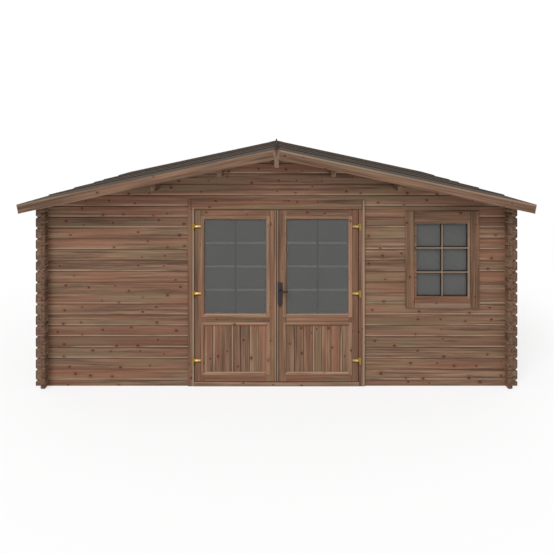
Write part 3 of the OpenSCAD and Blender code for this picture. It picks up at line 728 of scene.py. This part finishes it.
def leafPine(side, name="leaf", lines=(hingeShade, meetingPale, grooveShade), seed=0.0):
    start = leaf["meeting"] if side > 0 else -leaf["hinge"]
    board = (leaf["hinge"] - leaf["meeting"]) / 2
    upright = dict(grain="z", board="x", width=board, start=start, seed=101.0 + side * 5 + seed)
    level = dict(grain="x", board="z", width=0.6, start=-0.2, seed=131.0 + side * 5 + seed)
    return pineFinish(name + ("Right" if side > 0 else "Left"), upright, level, crossing,
                      tint=tints[name], lines=lines)


def panelPine(side):
    boards = dict(grain="z", board="x", width=0.095, start=side * 0.7550 - 0.95,
                  seed=151.0 + side * 7, edges=0.010, joint=0.35)
    return pineFinish("panel" + ("Right" if side > 0 else "Left"), boards, tint=tints["panel"])


window = {
    "middle": 1.7205,
    "halfDaylight": 0.293,
    "daylight": (0.902, 1.7095),
    "halfPanes": 0.266,
    "panes": (0.929, 1.6825),
    "front": -1.896,             # face of the sash
    "back": -1.860,              # the seals and the dark-painted reveal faces lie between the two
    "glass": -1.867,             # outer face of the panes
    "bar": 0.012,
    "barEnds": (0.94, 1.672),    # the bars show between these heights
    "footDepth": 0.043,          # from here down the foot board is pale
    "headEdge": 0.012,
    "thin": 0.001,
    "line": (0.004, 0.008),
    "sashPale": (0.270, 0.200, 0.140),
    "trimPale": (0.245, 0.172, 0.124),
    # dark colour painted on the reveal faces beside the panes
    "seal": (0.030, 0.020, 0.014),
}


def windowCrossing(x, y, z):
    return abs(x - window["middle"]).below(window["halfDaylight"])


def sashFace(place, facing):
    # the bars are paler, and the pale right-hand stile is a painted highlight
    x, y, z = place
    out = x - window["middle"]
    stile = out.above(window["halfPanes"])
    thin = window["thin"]
    low, high = window["barEnds"]
    bars = abs(out).below(window["halfPanes"] + thin) * z.above(low) * z.below(high)
    face = y.below(window["front"] + thin) * y.above(window["front"] - thin)
    return face * stile.math("MAXIMUM", bars) * 0.65, window["sashPale"]


def reveal(place, facing):
    # the reveal faces that look up or left, along the right side and the foot of each pane, are
    # painted dark
    x, y, z = place
    turned = (facing[2] - facing[0]).above(0.5)
    sunk = y.above(window["front"] + window["thin"])
    return turned * sunk * y.below(window["back"]) * 0.85, window["seal"]


def windowRun(name, tint, lines=()):
    return pineFinish(name, dict(grain="z", board="x", width=0.6, start=1.1, seed=191.0),
                      dict(grain="x", board="z", width=0.5, start=0.6, seed=179.0),
                      windowCrossing, tint=tint, lines=lines)


def trimPale(place, facing):
    # the foot board is paler, and the head board has a pale lower edge
    x, y, z = place
    low, high = window["daylight"]
    foot = z.below(low - window["footDepth"]) * 0.55
    edge = z.above(high) * z.below(high + window["headEdge"]) * 0.45
    return foot.math("MAXIMUM", edge) * windowCrossing(x, y, z), window["trimPale"]


windowPine = windowRun("windowTrim", tints["windowTrim"], [trimPale])
sashPine = windowRun("windowSash", tints["sash"], [sashFace, reveal])
felted = feltFinish()
glazed = glassFinish("doorGlazing", glass["tone"])


def paneLine(x, y, z):
    # a dark line painted along the right side and the foot of each of the six panes
    low, high = window["panes"]
    step = (high - low) / 3
    half = window["bar"] / 2
    row = ((z - low) / step).floor()
    foot = z - low - row * step - row.above(0.5) * half
    out = x - window["middle"]
    right = -out - half
    right = right + out.above(0) * (half + window["halfPanes"])
    return 1 - foot.math("MINIMUM", right).rise(*window["line"])


windowGlazed = glassFinish("windowGlazing", glass["windowTone"], paneLine)
brassed = brassFinish()
blacked = blackFinish()
barred = barFinish()


def plainFinish(name, dark, light, roughness, metallic=0.0, scale=80):
    # small parts: one cloudy colour with a little relief
    plain = Surface(name)
    x, y, z = plain.place()
    cloud = plain.noise(plain.vector(x, y, z), scale, 3, 0.6)
    plain.bump(cloud, 0.12, 0.0005)
    return plain.set(Base_Color=plain.ramp(cloud.rise(0.3, 0.7), [(0, dark), (1, light)]),
                     Metallic=metallic, Roughness=roughness + cloud * 0.1)


sealed = plainFinish("seal", (0.020, 0.018, 0.017), (0.034, 0.031, 0.029), 0.6)
galvanised = plainFinish("galvanised", (0.056, 0.047, 0.040), (0.094, 0.080, 0.068), 0.7, 0.15)
nailHeads = plainFinish("nailHeads", (0.050, 0.036, 0.028), (0.085, 0.064, 0.050), 0.55, 0.5)

finishOf = {
    "floor_bearers": frontPine, "floor_boards": floorPine,
    "front_gable": gablePine, "back_gable": gablePine,
    "left_wall": sidePine, "right_wall": sidePine,
    "ridge_purlin": purlinPine, "inner_purlins": purlinPine, "outer_purlins": purlinPine,
    "roof_deck_left": roofPine, "roof_deck_right": roofPine,
    "roof_covering_left": felted, "roof_covering_right": felted, "ridge_cap": felted,
    "front_bargeboards": bargePine, "back_bargeboards": bargePine, "eaves_boards": sidePine,
    "door_frame": doorTrimPine, "door_threshold": sillPine, "door_trim": doorTrimPine,
    "left_leaf": leafPine(-1), "right_leaf": leafPine(1),
    "left_leaf_panel": panelPine(-1), "right_leaf_panel": panelPine(1),
    "left_leaf_glass": glazed, "right_leaf_glass": glazed, "window_glass": windowGlazed,
    "left_leaf_bars": barred, "right_leaf_bars": barred,
    "left_frame_hinges": brassed, "left_leaf_hinges": brassed,
    "right_frame_hinges": brassed, "right_leaf_hinges": brassed,
    "handle_plates": blacked, "door_lever": blacked,
    "window_frame": windowPine, "window_sash": sashPine, "window_bars": sashPine,
    "window_trim_boards": windowPine,
}

for name, node in nodes.items():
    node.data.materials.clear()
    node.data.materials.append(finishOf.get(name, frontPine))
print("finishes are on the cabin's own pieces")


class Piece:
    # a mesh gathered from simple solids, which then rides on one body
    def __init__(self, name, finish, body, slot):
        self.name = name
        self.finish = finish
        self.body = body
        self.slot = slot
        self.form = bmesh.new()

    def block(self, low, high):
        size = [b - a for a, b in zip(low, high)]
        middle = [(a + b) / 2 for a, b in zip(low, high)]
        matrix = Matrix.Translation(middle) @ Matrix.Diagonal((*size, 1))
        bmesh.ops.create_cube(self.form, size=1, matrix=matrix)

    def turned(self, start, axis, rings, sides=12):
        # a solid of revolution: rings are (distance along the axis, radius)
        turn = Vector(axis).to_track_quat("Z", "Y").to_matrix()
        loops = []
        for out, radius in rings:
            angles = [2 * math.pi * k / sides for k in range(sides)]
            loops.append([self.form.verts.new(Vector(start) + turn @ Vector((
                radius * math.cos(angle), radius * math.sin(angle), out))) for angle in angles])
        for one, other in zip(loops, loops[1:]):
            for k in range(sides):
                self.form.faces.new((one[k], one[(k + 1) % sides], other[(k + 1) % sides], other[k]))
        self.form.faces.new(list(reversed(loops[0])))
        self.form.faces.new(loops[-1])

    def moulding(self, xs, zs, y, outward, profile):
        # a mitred frame round an opening, whose profile points are
        # (distance outside it, height over the face)
        loops = []
        for out, height in profile:
            corners = [(xs[0] - out, zs[0] - out), (xs[1] + out, zs[0] - out),
                       (xs[1] + out, zs[1] + out), (xs[0] - out, zs[1] + out)]
            loops.append([self.form.verts.new((x, y + outward * height, z)) for x, z in corners])
        for one, other in zip(loops, loops[1:] + loops[:1]):
            for k in range(4):
                self.form.faces.new((one[k], one[(k + 1) % 4], other[(k + 1) % 4], other[k]))

    def done(self):
        bmesh.ops.recalc_face_normals(self.form, faces=self.form.faces[:])
        mesh = bpy.data.meshes.new(self.name)
        self.form.to_mesh(mesh)
        self.form.free()
        made = bpy.data.objects.new(self.name, mesh)
        scene.collection.objects.link(made)
        mesh.materials.append(self.finish)
        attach(made, self.body)
        return made


bead = {
    # across the bead from its outer edge to the pane or panel
    "glass": [(0.037, -0.001), (0.037, 0.0030), (0.0345, 0.0055), (0.022, 0.0055), (0.008, 0.0012),
              (-0.0006, -0.0070), (-0.0006, -0.0115), (0.004, -0.0115)],
    "panel": [(0.034, -0.001), (0.034, 0.0030), (0.0315, 0.0055), (0.018, 0.0055), (0.008, 0.0012),
              (-0.0006, -0.0060), (-0.0006, -0.0095), (0.004, -0.0095)],
    "seal": [(0.0005, -0.0119), (0.0005, -0.0100), (-0.0040, -0.0106), (-0.0040, -0.0119)],
    "windowSeal": [(0.0003, 0.0), (0.0003, 0.0018), (-0.0007, 0.0012), (-0.0007, 0.0)],
    "shade": (0.085, 0.052, 0.030),
    "bright": (0.330, 0.245, 0.175),
}


def beadSlope(place, facing):
    # painted shade: the slopes that look right or down are darker than the flat fillet round them
    sloped = 1 - abs(facing[1]).rise(0.80, 0.97)
    return sloped * (facing[0] - facing[2]).above(0) * 0.6, bead["shade"]


def beadLight(place, facing):
    # painted light: the slopes that look left or up are paler
    sloped = 1 - abs(facing[1]).rise(0.80, 0.97)
    return sloped * (facing[0] - facing[2]).below(0) * 0.5, bead["bright"]


def addBeads(side):
    name, body = ("right", "right_door") if side > 0 else ("left", "left_door")
    finish = leafPine(side, "bead", [beadSlope, beadLight], seed=40.0)
    xs = leaf["opening"] if side > 0 else (-leaf["opening"][1], -leaf["opening"][0])
    frames = Piece(name + "_leaf_beads", finish, body, "joinery")
    seals = Piece(name + "_glass_seals", sealed, body, "black_metal")
    for y, outward in ((leaf["front"], -1), (leaf["back"], 1)):
        frames.moulding(xs, leaf["glass"], y, outward, bead["glass"])
        frames.moulding(xs, leaf["panel"], y, outward, bead["panel"])
        seals.moulding(xs, leaf["glass"], y, outward, bead["seal"])
    frames.done()
    seals.done()


def addWindowSeals():
    seals = Piece("window_seals", sealed, "cabin", "black_metal")
    middle, half, bar = window["middle"], window["halfPanes"], window["bar"] / 2
    low, high = window["panes"]
    step = (high - low) / 3
    for xs in ((middle - half, middle - bar), (middle + bar, middle + half)):
        for k in range(3):
            zs = (low + k * step + (bar if k else 0), low + (k + 1) * step - (bar if k < 2 else 0))
            seals.moulding(xs, zs, window["glass"], -1, bead["windowSeal"])
    seals.done()


for side in (-1, 1):
    addBeads(side)
addWindowSeals()
print("beads and seals are on")

fixings = {
    "sink": 0.0004,              # every head starts so far below the face
    "screwRadius": 0.0042,
    "screwRise": 0.0010,
    "slot": 0.0012,
    "nailRadius": 0.0030,
    "nailRise": 0.0005,
    "flush": 0.00004,            # bargeboard nails are driven in level with the face
    "cloutRadius": 0.0048,
    "cloutRise": 0.0010,
    "cloutSink": 0.0006,
    "cloutStep": 0.090,
}


def screwHead(piece, at, turn):
    # a slightly domed head, whose cross is left open between four raised quarters
    radius, rise, half = fixings["screwRadius"], fixings["screwRise"], fixings["slot"] / 2
    x, y, z = at
    sink = fixings["sink"]
    piece.turned((x, y + sink, z), (0, -1, 0), [(0, radius), (rise * 0.4 + sink, radius)], 16)
    for quarter in range(4):
        first = turn + quarter * math.pi / 2
        corners = []
        for step in range(5):
            angle = first + (step / 4) * math.pi / 2
            corners.append((radius * 0.96 * math.cos(angle), radius * 0.96 * math.sin(angle)))
        middle = first + math.pi / 4
        push = (half * 1.4 * math.cos(middle), half * 1.4 * math.sin(middle))
        outline = [push] + [(a * 0.92 + push[0] * 0.6, b * 0.92 + push[1] * 0.6) for a, b in corners]
        low = [piece.form.verts.new((x + a, y - rise * 0.3, z + b)) for a, b in outline]
        high = [piece.form.verts.new((x + a * 0.9, y - rise, z + b * 0.9)) for a, b in outline]
        piece.form.faces.new(low)
        piece.form.faces.new(list(reversed(high)))
        for k in range(len(outline)):
            j = (k + 1) % len(outline)
            piece.form.faces.new((low[k], low[j], high[j], high[k]))


hinges = {
    "heights": (0.264, 0.958, 1.652),
    "strapScrews": (0.8270, 0.8000),
    "strapFace": -1.922,
    "plateScrew": 0.8665,
    "plateReach": 0.026,
    "plateFace": -1.918,
    "turn": 1.5,                 # each cross slot stands at its own angle up to this
}


def addHingeScrews(side, dice):
    body = "right_door" if side > 0 else "left_door"
    name = "right" if side > 0 else "left"
    onLeaf = Piece(name + "_strap_screws", brassed, body, "hinge_brass")
    onFrame = Piece(name + "_plate_screws", brassed, "cabin", "hinge_brass")
    for z in hinges["heights"]:
        for x in hinges["strapScrews"]:
            at = (side * x, hinges["strapFace"], z)
            screwHead(onLeaf, at, dice.uniform(0, hinges["turn"]))
        for rise in (-hinges["plateReach"], hinges["plateReach"]):
            at = (side * hinges["plateScrew"], hinges["plateFace"], z + rise)
            screwHead(onFrame, at, dice.uniform(0, hinges["turn"]))
    onLeaf.done()
    onFrame.done()


handle = {
    "x": 0.0355,
    "face": -1.923,
    "screws": (1.057, 0.866),
    "lock": (0.917, -1.926, 0.0062),     # height, face and radius of the lock's plug
    "slot": (0.0008, 0.0042),    # half width and half height of its key slot
}


def addHandleDetail(dice):
    screws = Piece("handle_screws", blacked, "right_door", "black_metal")
    for z in handle["screws"]:
        screwHead(screws, (handle["x"], handle["face"], z), dice.uniform(0, hinges["turn"]))
    screws.done()
    z, face, radius = handle["lock"]
    plug = Piece("lock_plug", blacked, "right_door", "black_metal")
    plug.turned((handle["x"], face + 0.0005, z), (0, -1, 0),
                [(0, radius), (0.0012, radius), (0.0016, radius * 0.86)], 24)
    plug.done()
    slot = Piece("key_slot", sealed, "right_door", "black_metal")
    wide, high = handle["slot"]
    slot.block((handle["x"] - wide, face - 0.0014, z - high),
               (handle["x"] + wide, face - 0.0009, z + high))
    slot.done()


roof = {
    "apex": 2.4472,
    "pitch": math.radians(12.1),
    "cover": 0.022,              # top of the covering over the underside of the roof boards
    "lift": 0.010,
    "edges": (-2.150, -1.375, -0.600, 0.175, 0.600, 1.375, 2.150),
    "eave": 2.586,
    "cap": 0.125,                # the nails keep this far from the ridge
    "inset": 0.022,              # the rows lie so far behind each lap
    "nailStart": 0.020,
    "eaveStart": 0.070,
    "stray": (0.006, 0.003),     # how far a nail is off its row, along it and across it
    "eaveInset": 0.006,
}


def slopePoint(side, along, y, height):
    # a point over one slope, measured down the slope from the ridge
    pitch = roof["pitch"]
    return (side * (along * math.cos(pitch) + height * math.sin(pitch)), y,
            roof["apex"] - along * math.sin(pitch) + height * math.cos(pitch))


def coverHeight(y):
    # the strips fall from their lap at the front to the next lap behind
    edges = roof["edges"]
    k = max(k for k in range(len(edges) - 1) if y >= edges[k])
    share = (y - edges[k]) / (edges[k + 1] - edges[k])
    front = 0 if k == 0 else roof["lift"]
    back = roof["lift"] if k == len(edges) - 2 else 0
    return roof["cover"] + front + (back - front) * share


def addRoofNails(dice):
    nails = Piece("roof_nails", galvanised, "cabin", "roof_covering")
    last = roof["eave"] / math.cos(roof["pitch"]) - roof["inset"] - roof["eaveInset"]
    first = roof["cap"] + roof["nailStart"]
    step = fixings["cloutStep"]
    radius, rise = fixings["cloutRadius"], fixings["cloutRise"]
    edges = roof["edges"]
    rows = [edge + roof["inset"] for edge in edges[:-1]] + [edges[-1] - roof["inset"]]
    for side in (-1, 1):
        normal = (side * math.sin(roof["pitch"]), 0, math.cos(roof["pitch"]))
        places = []
        for y in rows:
            count = int((last - first) / step)
            places += [(first + k * step, y) for k in range(count + 1)]
        count = int(2 * (edges[-1] - roof["eaveStart"]) / step)
        places += [(last, edges[0] + roof["eaveStart"] + k * step) for k in range(count + 1)]
        for along, y in places:
            along += dice.uniform(-roof["stray"][0], roof["stray"][0])
            y += dice.uniform(-roof["stray"][1], roof["stray"][1])
            start = slopePoint(side, along, y, coverHeight(y) - fixings["cloutSink"])
            nails.turned(start, normal, [(0, radius), (rise, radius), (rise * 1.5, radius * 0.6)], 8)
    nails.done()


nailRows = {
    "doorBoards": (0.890, (0.10, 0.50, 0.90, 1.30, 1.70)),       # off the middle, heights
    "headBoard": ((0.15, 0.45, 0.75), (1.858, 1.905)),
    "windowSides": (0.3375, (0.86, 1.15, 1.45, 1.76)),
    "windowEnds": (0.18, (1.745, 0.835)),
    "bargeboards": ((0.50, 1.15, 1.80, 2.45), (0.026, 0.066)),   # off the middle, below the edge
    "bargeFace": 2.150,
}


def addTrimNails(dice):
    nails = Piece("trim_nails", nailHeads, "cabin", "black_metal")
    radius, sink = fixings["nailRadius"], fixings["sink"]

    def nail(x, y, z, outward=-1, rise=fixings["nailRise"]):
        at = (x + dice.uniform(-0.001, 0.001), y - outward * sink, z + dice.uniform(-0.002, 0.002))
        nails.turned(at, (0, outward, 0), [(0, radius), (rise + sink, radius)], 10)

    face = leaf["front"]
    for side in (-1, 1):
        x, heights = nailRows["doorBoards"]
        for z in heights:
            nail(side * x, face, z)
        places, heights = nailRows["headBoard"]
        for x in places:
            for z in heights:
                nail(side * x, face, z)
        for board in ("windowSides", "windowEnds"):
            x, heights = nailRows[board]
            for z in heights:
                nail(window["middle"] + side * x, face, z)
        places, depths = nailRows["bargeboards"]
        for x in places:
            top = barge["ridge"] - x * barge["slope"]
            for depth in depths:
                for end in (-1, 1):
                    nail(side * x, end * nailRows["bargeFace"], top - depth, end, fixings["flush"])
    nails.done()


dice = random.Random(7)
for side in (-1, 1):
    addHingeScrews(side, dice)
addHandleDetail(dice)
addRoofNails(dice)
addTrimNails(dice)
print("screws and nails are in")
